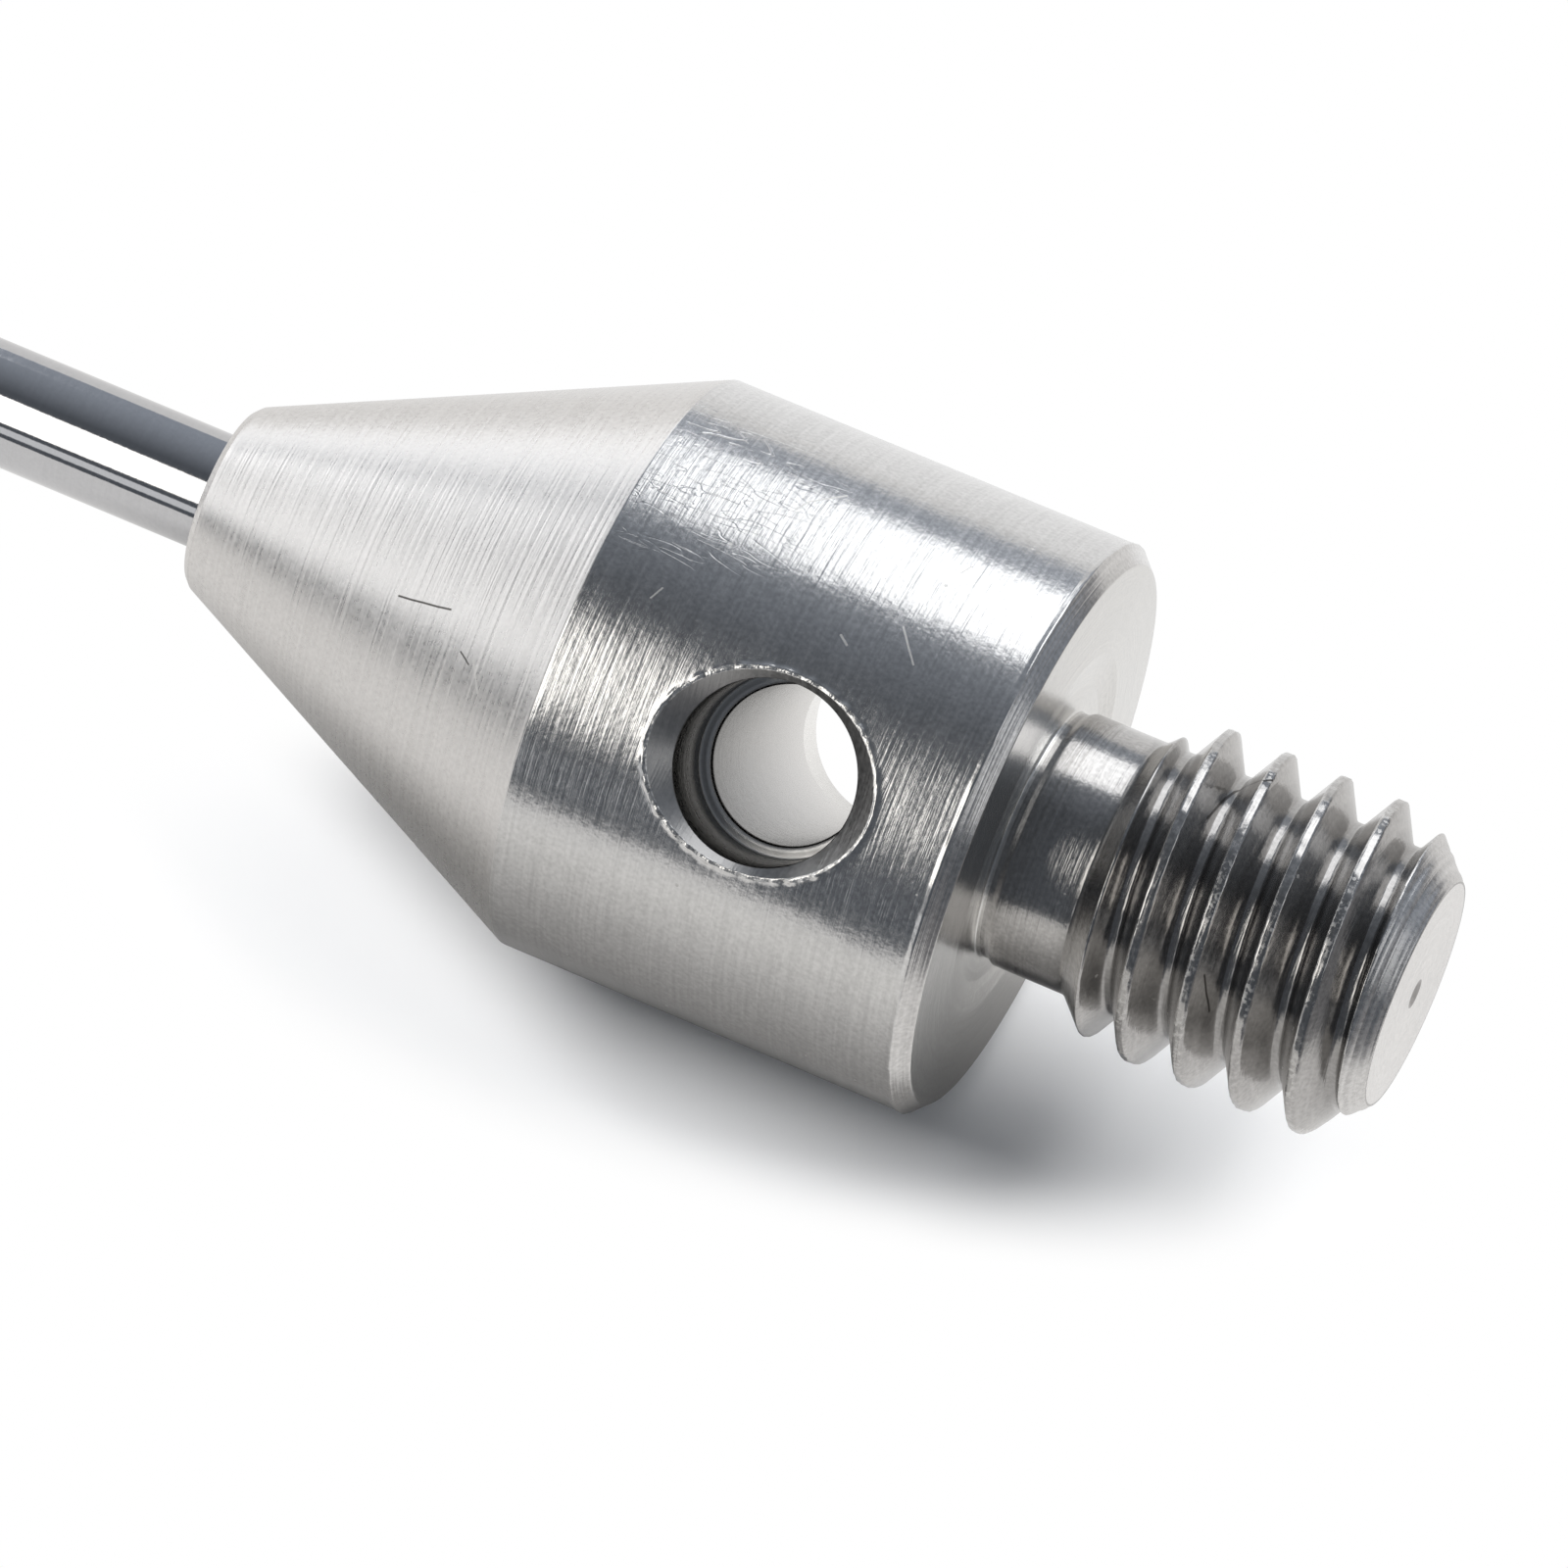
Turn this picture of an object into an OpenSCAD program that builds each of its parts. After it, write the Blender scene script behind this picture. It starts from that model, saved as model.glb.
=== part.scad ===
// CMM stylus: a ruby ball on a thin carbide stem, bonded into a turned steel
// holder whose threaded stud screws into the probe. Millimetres.
// The stylus lies along X: the stud points to +X and the ball to -X.
// The origin is the middle of the shoulder face that seats on the probe.

/* [Holder] */
// Diameter of the holder's cylinder
holder_d = 7; // [6:0.1:9]
// Length of the cylinder, from the shoulder face to the edge of the cone
holder_len = 5.2; // [4.4:0.1:8]
// Length of the cone, from the cylinder to the nose
cone_len = 5.1; // [3.5:0.1:9]
// Diameter of the cone's small end, at the nose
nose_d = 2.3; // [2.1:0.05:3.5]
// Edge break round the nose
nose_break = 0.08; // [0.03:0.01:0.15]
// 45 degree bevel round the shoulder face
rim_bevel = 0.18; // [0.05:0.01:0.4]
// Depth of the relief turned into the shoulder face round the stud
seat_relief = 0.05; // [0.02:0.01:0.15]
// Width of that relief outside the thread
seat_gap = 0.15; // [0.05:0.01:0.5]

/* [Cross hole] */
// Diameter of the hole that a pin turns the holder by
hole_d = 1.83; // [1.2:0.01:2.2]
// How much wider each end of the hole is drilled
hole_relief = 0.31; // [0.1:0.01:0.5]
// Depth of the wider ends, below the cylinder's top line
hole_relief_depth = 1.4; // [0.8:0.05:2]
// Width of the 90 degree countersink round each mouth
mouth_bevel = 0.275; // [0.1:0.005:0.4]
// Distance from the shoulder face to the hole's axis
hole_back = 2.5; // [2:0.05:4]
// Lean of the hole's axis from upright, about the stylus axis
hole_turn = 35; // [-180:1:180]

/* [Stud] */
// Major diameter of the thread, an M4 with its play taken off
thread_d = 3.96; // [2.9:0.01:5]
// Thread pitch
thread_pitch = 0.7; // [0.5:0.05:0.8]
// Length of the stud, from the shoulder face to its end
stud_len = 4.75; // [4:0.05:9]
// Diameter of the undercut next to the shoulder
neck_d = 3; // [1.6:0.05:3.6]
// Width of the undercut
neck_len = 0.1; // [0.05:0.01:0.8]
// Plain shank between the undercut and the thread
shank_len = 0.85; // [0.3:0.05:1.5]
// Diameter of the flat at the stud's end
tip_d = 2.76; // [1.4:0.02:3.6]
// Where round the stud the ridge crosses the start of the thread
crest_turn = 104; // [0:1:359]
// Facets in one turn of the ridge
ridge_facets = 36; // [24:6:60]

/* [Stem] */
// Diameter of the stem
stem_d = 1.4; // [1:0.05:1.6]
// Length from the shoulder face to the middle of the ball
reach = 30; // [20:1:60]
// Depth of the socket in the nose
socket_depth = 4.5; // [3:0.1:6]
// Thickness of the bond between two bonded faces
bond = 0.015; // [0.005:0.005:0.03]

/* [Ball] */
// Diameter of the ball
ball_d = 2; // [2:0.1:4]
// Diameter of the stem's spigot inside the ball
spigot_d = 0.7; // [0.4:0.05:0.8]
// How far the spigot reaches toward the middle of the ball
spigot_len = 0.55; // [0.3:0.05:0.7]

/* [Hidden] */
$fn = 96;
steel = [0.72, 0.72, 0.73];
carbide = [0.45, 0.46, 0.49];
ruby = [0.72, 0.05, 0.12];
holder_r = holder_d / 2;
nose_x = -(holder_len + cone_len);
nose_r = max(nose_d / 2, stem_d / 2 + nose_break + 0.2);
// the hole keeps its mouths clear of the shoulder's bevel and of the cone
hole_r = min(hole_d / 2, 0.3 * holder_r);
relief_r = hole_r + hole_relief / 2;
mouth_r = relief_r + mouth_bevel;
hole_x = -min(max(hole_back, mouth_r + rim_bevel + 0.3), holder_len - mouth_r - 0.3);
relief_depth = min(hole_relief_depth, holder_r - hole_r);
// the socket ends short of the hole
socket_r = stem_d / 2 + bond;
socket_end = min(nose_x + socket_depth, hole_x - relief_r - 0.8);
// basic ISO proportions of the thread
thread_r = thread_d / 2;
core_r = thread_r - 0.6134 * thread_pitch;
neck_r = min(neck_d / 2, core_r - 0.05);
seat_in_r = min(thread_r + seat_gap, holder_r - rim_bevel - 0.3);
thread_from = neck_len + shank_len;
tip_r = min(tip_d / 2, core_r - 0.1);
flank = tan(30);
sunk = 0.06;
proud = 0.05;
ball_r = ball_d / 2;
seat_r = ball_r + bond;
cup_r = stem_d / 2;
cup_x = sqrt(seat_r * seat_r - cup_r * cup_r);
pin_r = min(spigot_d / 2, 0.6 * cup_r);
pin_reach = min(spigot_len, cup_x - 0.1);

// Turns a shape drawn along Z so that it lies along X.
module along_x() {
    rotate([0, 90, 0]) children();
}

// The ridge of the thread: a 60 degree section run along a right-hand helix. It
// stands proud of the blank and is sunk into the core, so that both trim it.
module ridge() {
    n = ridge_facets * ceil((stud_len - thread_from) / thread_pitch + 2);
    top_r = thread_r + proud;
    low_r = core_r - sunk;
    top_w = thread_pitch / 16 - proud * flank;
    low_w = thread_pitch / 16 + (thread_r - low_r) * flank;
    section = [[low_r, -low_w], [top_r, -top_w], [top_r, top_w], [low_r, low_w]];
    points = [
        for (i = [0 : n])
            let (a = crest_turn + i * 360 / ridge_facets)
            let (z = thread_from + thread_pitch * (i / ridge_facets - 1))
            for (c = section)
                [c[0] * cos(a), c[0] * sin(a), z + c[1]]
    ];
    sides = [
        for (i = [0 : n - 1])
            for (k = [0 : 3])
                let (a = 4 * i + k)
                let (b = 4 * i + (k + 1) % 4)
                for (t = [[a, b, b + 4], [a, b + 4, a + 4]])
                    t
    ];
    e = 4 * n;
    ends = [[2, 1, 0], [3, 2, 0], [e, e + 1, e + 2], [e, e + 2, e + 3]];
    polyhedron(points = points, faces = concat(sides, ends), convexity = 12);
}

// The stud's thread: core and ridge, trimmed to the turned blank. The blank's
// 45 degree steps start the ridge and bevel the stud's end.
module thread() {
    far = thread_r + 2;
    intersection() {
        union() {
            translate([0, 0, neck_len]) cylinder(r = core_r, h = stud_len);
            intersection() {
                ridge();
                rotate_extrude() polygon([
                    [0, thread_from + 0.1 - core_r],
                    [far, thread_from + 0.1 - core_r + far],
                    [far, stud_len + far],
                    [0, stud_len + far]
                ]);
            }
        }
        rotate_extrude() polygon([
            [0, neck_len / 2],
            [thread_r, neck_len / 2],
            [thread_r, stud_len - thread_r + tip_r],
            [tip_r, stud_len],
            [0, stud_len]
        ]);
    }
}

// Half of the cross hole: bore, wider end and countersunk mouth.
module hole_half() {
    cylinder(r = hole_r, h = holder_r + 1);
    translate([0, 0, holder_r - relief_depth]) cylinder(r = relief_r, h = relief_depth + 1);
    translate([0, 0, holder_r - mouth_bevel])
        cylinder(r1 = relief_r, r2 = mouth_r + 1, h = mouth_bevel + 1);
}

module holder() {
    color(steel) difference() {
        union() {
            along_x() rotate_extrude() polygon([
                [0, nose_x],
                [nose_r - nose_break, nose_x],
                [nose_r, nose_x + nose_break],
                [holder_r, -holder_len],
                [holder_r, -rim_bevel],
                [holder_r - rim_bevel, 0],
                [seat_in_r, 0],
                [seat_in_r, -seat_relief],
                [0, -seat_relief]
            ]);
            along_x() translate([0, 0, -1]) cylinder(r = neck_r, h = neck_len + 1.2);
            along_x() thread();
        }
        translate([hole_x, 0, 0]) rotate([hole_turn, 0, 0]) {
            hole_half();
            rotate([180, 0, 0]) hole_half();
        }
        translate([nose_x - 1, 0, 0]) along_x()
            cylinder(r = socket_r, h = socket_end - nose_x + 1);
    }
}

module stem() {
    color(carbide) translate([-reach, 0, 0]) along_x() rotate_extrude() union() {
        difference() {
            square([stem_d / 2, reach + socket_end - bond]);
            circle(r = seat_r);
        }
        translate([0, pin_reach - 0.2]) square([pin_r, seat_r - pin_reach + 0.6]);
    }
}

module ball() {
    color(ruby) difference() {
        translate([-reach, 0, 0]) sphere(r = ball_r);
        translate([-reach + pin_reach - 0.2 - bond, 0, 0]) along_x()
            cylinder(r = pin_r + bond, h = ball_r + 1);
    }
}

holder();
stem();
ball();
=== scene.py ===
import math

import bmesh
import bpy
import numpy as np
from mathutils import Matrix


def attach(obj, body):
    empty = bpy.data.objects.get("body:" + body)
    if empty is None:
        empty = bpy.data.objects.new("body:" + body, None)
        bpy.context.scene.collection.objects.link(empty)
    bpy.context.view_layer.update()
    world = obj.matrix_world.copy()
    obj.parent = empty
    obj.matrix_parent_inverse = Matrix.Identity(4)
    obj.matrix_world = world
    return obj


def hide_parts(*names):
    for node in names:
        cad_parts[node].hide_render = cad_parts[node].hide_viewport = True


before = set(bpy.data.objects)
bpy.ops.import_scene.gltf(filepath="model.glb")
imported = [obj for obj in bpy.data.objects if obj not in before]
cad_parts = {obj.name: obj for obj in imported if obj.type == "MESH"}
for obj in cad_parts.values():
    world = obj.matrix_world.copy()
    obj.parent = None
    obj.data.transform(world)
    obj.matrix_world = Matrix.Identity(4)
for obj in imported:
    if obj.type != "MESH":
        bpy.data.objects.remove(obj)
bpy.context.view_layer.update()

# Sizes in millimetres, as in part.scad. The stylus lies along X, stud to +X. Turns about X are
# counted from +Y toward +Z.
MM = 0.001
FULL_TURN = 2 * math.pi
HOLDER_R = 3.5
HOLDER_LEN = 5.2
NOSE_X = -10.3
NOSE_R = 1.15
NOSE_BREAK = 0.08
RIM_BEVEL = 0.18
SOCKET_R = 0.715
SOCKET_END = -5.8
HOLE_X = -2.5
HOLE_TURN = math.radians(125)
HOLE_R = 0.915
RELIEF_R = 1.07
RELIEF_DEPTH = 1.4
MOUTH_BEVEL = 0.275
THREAD_R = 1.98
CORE_R = 1.5506
PITCH = 0.7
THREAD_FROM = 0.95
CREST_TURN = math.radians(104)
STUD_LEN = 4.75
TIP_R = 1.38
NECK_R = 1.5
NECK_LEN = 0.1
SEAT_R = 2.13
SEAT_RELIEF = 0.05
STEM_R = 0.7
REACH = 30.0
BALL_R = 1.0
BOND = 0.015
PIN_R = 0.35
PIN_REACH = 0.35

# Grid of the holder: columns round the axis, the first along the hole, and a window of rows and
# columns left out round each mouth. Stem and ball have columns of their own.
COLUMNS = 240
WINDOW_COLUMNS = 20
WINDOW_HALF = 1.6
WINDOW_ROWS = 33
THREAD_ROWS = 216
STUD_FROM = 0.8
TURNED_COLUMNS = 160
CUP_ROWS = 9
BALL_ROWS = 90
MERGE_GAP = 2e-7

# Rounded corners of a profile: points on an arc, the share of a run that an arc may take, and
# how far beyond the arc the holding point lies.
ARC_POINTS = 5
ARC_SHARE = 0.45
ARC_HOLD = 0.03

# Small forms of the thread (mm): how far the crest is worn and how wide it is rounded, the
# height of its raggedness and the depths between which that sets in, the ridge's start, the
# rounding of run-in, root and bevel, and the bevel's turned ridges as (height, gap, shift).
CREST_WEAR, CREST_ROUND = 0.01, 0.015
RAGGED, RAGGED_DEPTH, RAGGED_RISE = 0.0035, 0.09, 0.07
RUN_IN = 0.1
RUN_IN_ROUND, ROOT_ROUND, BEVEL_ROUND = 0.04, 0.05, 0.03
BEVEL_WEAR, BEVEL_PLAIN = 0.005, 0.02
BEVEL_RIDGES = ((0.006, 0.16, 0), (0.004, 0.09, 1))

# The seat relief is a shallow dish that reaches out and in of its radius (mm), and the undercut
# slopes up to the core over the end of its width.
DISH_OUT, DISH_IN = 0.1, 0.3
SLOPE_FROM, SLOPE_TO = NECK_LEN - 0.03, NECK_LEN + 0.05

# The stud's end face with its centre dimple, as (depth, radius).
END_FACE = ((0, TIP_R - 0.03), (0, TIP_R - 0.1), (0, 0.5), (0, 0.22),
            (0.004, 0.18), (0.03, 0.12), (0.05, 0.06), (0.055, 0))
DIMPLE_DEPTH, DIMPLE_R = 0.06, 0.16

# The lip at the shoulder's rim and the burr round a mouth: height, place and width of the bell
# (mm), mean level, and waves round them as (height, count, shift). The lip has rows of its own,
# and only rows this near to the holder's radius carry it.
LIP_HEIGHT, LIP_X, LIP_WIDTH, LIP_MEAN = 0.016, -0.2, 0.025, 0.7
LIP_WAVES = ((0.3, 5, 1), (0.25, 23, 0), (0.25, 57, 2))
LIP_ROWS = (-0.32, -0.275, -0.255, -0.24)
LIP_NEAR = 0.1
BURR_HEIGHT, BURR_PLACE, BURR_WIDTH, BURR_MEAN = 0.014, 0.035, 0.03, 0.6
BURR_WAVES = ((0.3, 3, 0.7), (0.3, 7, 2), (0.7, 29, 0), (0.7, 47, 1))

# Rows of the hole: shares of the way from mouth to window, shares of the way down the
# countersink, rows that carry the burr, rows of the wall at which step and bore begin, half the
# gap between the rows next to the axis (mm), and the rounds that settle the mouth's radius.
PATCH_SHARES = (1, 0.85, 0.7, 0.55, 0.4, 0.28, 0.2, 0.15, 0.11, 0.08, 0.055, 0.035, 0.018, 0.006)
SINK_SHARES = (0.0, 0.04, 0.1, 0.3, 0.6, 0.85, 0.95)
BURR_ROWS = 4
STEP_ROW, BORE_ROW = 3, 11
MIDDLE_HALF = 0.05
MOUTH_ROUNDS = 30

# Edges of the stem (mm): the break, the row that holds it, and rows of the rod outside the nose.
STEM_BREAK, STEM_HOLD = 0.02, 0.06
ROD_ROWS = (NOSE_X - 6, NOSE_X - 3)

# Places of the holder's finishes in the list steel_finishes, and what tells rows apart (mm): a
# slack, the distance from the stud's bevel, and the edge left round its end face.
(CONE, CYLINDER, SHOULDER, THREAD, BORE, RIM, STEP, WIDE_END, FAR_END, BURR,
 STUD_BEVEL, COUNTERSINK, STUD_END) = range(13)
SLACK, BEVEL_NEAR, END_EDGE = 0.001, 0.02, 0.02


def smooth_min(a, b, k):
    """The lesser of two arrays, with the corner between them rounded over a width k."""
    h = np.clip(0.5 + 0.5 * (b - a) / k, 0, 1)
    return b + (a - b) * h - k * h * (1 - h)


def smooth_max(a, b, k):
    """The greater of two arrays, with the corner between them rounded over a width k."""
    return -smooth_min(-a, -b, k)


def wave_sum(turn, waves):
    """A sum of sines round a turn, each given as (height, count, shift)."""
    return sum(tall * np.sin(count * turn + shift) for tall, count, shift in waves)


def turned_path(corners):
    """A turning profile of (x, radius) points. Each corner (x, radius, fillet) becomes a
    circular arc tangent to both of its straight runs, with a holding point on either side."""
    p = np.array([c[:2] for c in corners], float)
    out = [p[:1]]
    for i in range(1, len(p) - 1):
        a, b = p[i - 1] - p[i], p[i + 1] - p[i]
        la, lb = np.hypot(*a), np.hypot(*b)
        a, b = a / la, b / lb
        half = 0.5 * np.arccos(np.clip(a @ b, -1, 1))
        rad = corners[i][2]
        if rad <= 0:
            out.append(p[i : i + 1])
            continue
        reach = min(rad / math.tan(half), ARC_SHARE * la, ARC_SHARE * lb)
        rad = reach * math.tan(half)
        mid = p[i] + (a + b) / np.hypot(*(a + b)) * rad / math.sin(half)
        start, end = p[i] + a * reach - mid, p[i] + b * reach - mid
        turn = np.arctan2(start[0] * end[1] - start[1] * end[0], start @ end)
        t = np.linspace(0, 1, ARC_POINTS)[:, None] * turn
        arc = mid + start * np.cos(t) + np.array([-start[1], start[0]]) * np.sin(t)
        before, after = [p[i] + way * min(reach + ARC_HOLD, 0.5 * run)
                         for way, run in ((a, la), (b, lb))]
        out.append(np.vstack([before, arc, after]))
    out.append(p[-1:])
    return np.vstack(out)


def quads_of_grid(rows, cols, start=0):
    """Corner numbers of the quads of a grid that is closed along its columns."""
    i, k = np.meshgrid(np.arange(rows - 1), np.arange(cols), indexing="ij")
    k2 = (k + 1) % cols
    q = np.stack([i * cols + k, i * cols + k2, (i + 1) * cols + k2, (i + 1) * cols + k], -1)
    return q + start


def piece_from(name, points, quads, finish, materials):
    """Makes one closed mesh piece from points in millimetres and quads. Points that
    coincide become one, so poles and the joins between grids close."""
    used, new = np.unique(quads.ravel(), return_inverse=True)
    mesh = bpy.data.meshes.new(name)
    mesh.from_pydata(points[used] * MM, [], new.reshape(quads.shape))
    mesh.polygons.foreach_set("material_index", np.asarray(finish, np.int32))
    bm = bmesh.new()
    bm.from_mesh(mesh)
    bmesh.ops.remove_doubles(bm, verts=bm.verts, dist=MERGE_GAP)
    bmesh.ops.recalc_face_normals(bm, faces=bm.faces)
    bm.to_mesh(mesh)
    bm.free()
    mesh.polygons.foreach_set("use_smooth", np.ones(len(mesh.polygons), bool))
    for m in materials:
        mesh.materials.append(m)
    piece = bpy.data.objects.new(name, mesh)
    bpy.context.scene.collection.objects.link(piece)
    return piece


def around_x(x, r, turn):
    """Points at axial place x, radius r and turn about X."""
    x, r, turn = np.broadcast_arrays(x, r, turn)
    return np.stack([x, r * np.cos(turn), r * np.sin(turn)], -1)


def thread_radius(x, turn):
    """Radius of the cut stud: a 60 degree ridge on a right-hand helix, whose crest is where
    x = start + pitch * turn / one turn, kept between the core and the turned blank. The crest
    is left ragged by a few microns, as products of sines, and the end's bevel carries fine
    turned ridges, as two sines along X. The source counts CREST_TURN a quarter turn further."""
    crest = THREAD_FROM + PITCH * (turn + FULL_TURN / 4 - CREST_TURN) / FULL_TURN
    off = np.abs((x - crest + PITCH / 2) % PITCH - PITCH / 2)
    ridge = THREAD_R - np.maximum(off - PITCH / 16, 0) * math.sqrt(3)
    ridge = smooth_min(ridge, THREAD_R - CREST_WEAR, CREST_ROUND)
    ragged = (np.sin(31 * turn + 9 * x) * np.sin(7 * turn - 5 * x)
              + 0.6 * np.sin(53 * turn - 17 * x) * np.sin(5 * turn))
    high = np.clip((ridge - THREAD_R + RAGGED_DEPTH) / RAGGED_RISE, 0, 1)
    ridge = ridge + RAGGED * ragged * high
    start = CORE_R + (x - THREAD_FROM - RUN_IN)
    r = smooth_max(smooth_min(ridge, start, RUN_IN_ROUND), CORE_R, ROOT_ROUND)
    ridges = sum(tall * np.sin(FULL_TURN * x / gap + shift) for tall, gap, shift in BEVEL_RIDGES)
    bevel = TIP_R + STUD_LEN - x - BEVEL_WEAR + ridges * (x < STUD_LEN - BEVEL_PLAIN)
    return smooth_min(r, bevel, BEVEL_ROUND)


def rim_lip(x, turn):
    """Height of the lip that the tool left at the shoulder's rim: a bell along X, torn and
    uneven round the rim as a sum of sines."""
    uneven = LIP_MEAN + wave_sum(turn, LIP_WAVES)
    return LIP_HEIGHT * np.maximum(uneven, 0) * np.exp(-((x - LIP_X) / LIP_WIDTH) ** 2)


def mouth_burr(angle, away):
    """Height of the burr round a hole's mouth: a narrow ridge at the edge that falls off as a
    bell with distance, uneven and beaded round the mouth as a sum of sines."""
    uneven = BURR_MEAN + wave_sum(angle, BURR_WAVES)
    return BURR_HEIGHT * np.maximum(uneven, 0) * np.exp(-((away - BURR_PLACE) / BURR_WIDTH) ** 2)


def holder_grid():
    """The lathe-turned holder as rows of radius against turn: socket, nose, cone, cylinder,
    bevel, shoulder and undercut are plain rows, and the stud's rows follow the thread. Also
    gives each row's x, its radius at the first column and the number of the window's first row."""
    turn = HOLE_TURN + np.arange(COLUMNS) * FULL_TURN / COLUMNS
    front = turned_path([
        (SOCKET_END, 0, 0),
        (SOCKET_END, SOCKET_R, 0.02),
        (NOSE_X, SOCKET_R, 0.012),
        (NOSE_X, NOSE_R - NOSE_BREAK, 0.03),
        (NOSE_X + NOSE_BREAK, NOSE_R, 0.05),
        (-HOLDER_LEN, HOLDER_R, 0.05),
        (HOLE_X - WINDOW_HALF, HOLDER_R, 0)])[:-1]
    window = HOLE_X + np.linspace(-WINDOW_HALF, WINDOW_HALF, WINDOW_ROWS)
    back = turned_path([
        (HOLE_X + WINDOW_HALF, HOLDER_R, 0),
        *[(x, HOLDER_R, 0) for x in LIP_ROWS],
        (-RIM_BEVEL, HOLDER_R, 0.03),
        (0, HOLDER_R - RIM_BEVEL, 0.03),
        (0, SEAT_R + DISH_OUT, 0.06),
        (-SEAT_RELIEF, SEAT_R - DISH_IN, 0.06),
        (-SEAT_RELIEF, NECK_R, 0.03),
        (SLOPE_FROM, NECK_R, 0.03),
        (SLOPE_TO, CORE_R, 0.05),
        (STUD_FROM, CORE_R, 0)])[1:]
    stud = np.linspace(STUD_FROM, STUD_LEN, THREAD_ROWS)[1:]
    end = np.array([(STUD_LEN - depth, r) for depth, r in END_FACE])
    plain_x = np.concatenate([front[:, 0], window, back[:, 0]])
    plain_r = np.concatenate([front[:, 1], np.full(len(window), HOLDER_R), back[:, 1]])[:, None]
    lip = rim_lip(plain_x[:, None], turn[None, :]) * (plain_r > HOLDER_R - LIP_NEAR)
    stud_r = thread_radius(stud[:, None], turn[None, :])
    x = np.concatenate([plain_x, stud, end[:, 0]])
    r = np.concatenate([plain_r + lip, stud_r, np.repeat(end[:, 1:], COLUMNS, 1)])
    return around_x(x[:, None], r, turn[None, :]), x, r[:, 0], len(front)


def hole_grid():
    """The cross hole as one closed grid from the upper window through the hole to the lower
    one. A point is (x, side, height) along the hole: on the cylinder the rows run straight
    between window and mouth on the unrolled surface, then follow the countersink, the wider
    end, the step and the bore. The lower half mirrors the upper one in height. Also gives the
    number of rows on the cylinder and that of the wall's first row."""
    s_max = HOLDER_R * WINDOW_COLUMNS * FULL_TURN / COLUMNS
    s_side = np.linspace(-s_max, s_max, 2 * WINDOW_COLUMNS + 1)
    x_side = np.linspace(-WINDOW_HALF, WINDOW_HALF, WINDOW_ROWS)
    edge_x = np.concatenate([
        np.full(len(s_side) - 1, x_side[0]), x_side[:-1],
        np.full(len(s_side) - 1, x_side[-1]), x_side[:0:-1]])
    edge_s = np.concatenate([
        s_side[:-1], np.full(len(x_side) - 1, s_side[-1]),
        s_side[:0:-1], np.full(len(x_side) - 1, s_side[0])])
    angle = np.arctan2(edge_s, edge_x)
    mouth = np.full_like(angle, RELIEF_R + MOUTH_BEVEL)
    for _ in range(MOUTH_ROUNDS):
        drop = HOLDER_R - np.sqrt(HOLDER_R ** 2 - (mouth * np.sin(angle)) ** 2)
        mouth = RELIEF_R + MOUTH_BEVEL - drop
    mouth_x, mouth_side = mouth * np.cos(angle), mouth * np.sin(angle)
    mouth_s = HOLDER_R * np.arcsin(mouth_side / HOLDER_R)
    t = np.array(PATCH_SHARES)[:, None]
    px = mouth_x + t * (edge_x - mouth_x)
    ps = mouth_s + t * (edge_s - mouth_s)
    away = np.hypot(px - mouth_x, ps - mouth_s)
    rad = HOLDER_R + mouth_burr(angle, away) * (t < 1)
    patch = np.stack([px, rad * np.sin(ps / HOLDER_R), rad * np.cos(ps / HOLDER_R)], -1)
    sink_end = HOLDER_R - MOUTH_BEVEL
    mouth_h = np.sqrt(HOLDER_R ** 2 - mouth_side ** 2)
    u = np.array(SINK_SHARES)[:, None]
    sink_r = mouth + u * (RELIEF_R - mouth)
    sink_h = mouth_h + u * (sink_end - mouth_h)
    wall = turned_path([
        (sink_end, RELIEF_R, 0), (HOLDER_R - RELIEF_DEPTH, RELIEF_R, 0.03),
        (HOLDER_R - RELIEF_DEPTH, HOLE_R, 0.07), (MIDDLE_HALF, HOLE_R, 0)])
    tube_h = np.concatenate([sink_h, np.repeat(wall[:, :1], len(angle), 1)])
    tube_r = np.concatenate([sink_r, np.repeat(wall[:, 1:], len(angle), 1)])
    tube = np.stack([tube_r * np.cos(angle), tube_r * np.sin(angle), tube_h], -1)
    upper = np.concatenate([patch, tube])
    grid = np.concatenate([upper, upper[::-1] * np.array([1, 1, -1])])
    ahead = np.array([1.0, 0, 0])
    side = np.array([0, -math.sin(HOLE_TURN), math.cos(HOLE_TURN)])
    out = np.array([0, math.cos(HOLE_TURN), math.sin(HOLE_TURN)])
    points = (grid[..., :1] + HOLE_X) * ahead + grid[..., 1:2] * side + grid[..., 2:] * out
    return points, len(t), len(t) + len(u)


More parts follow.
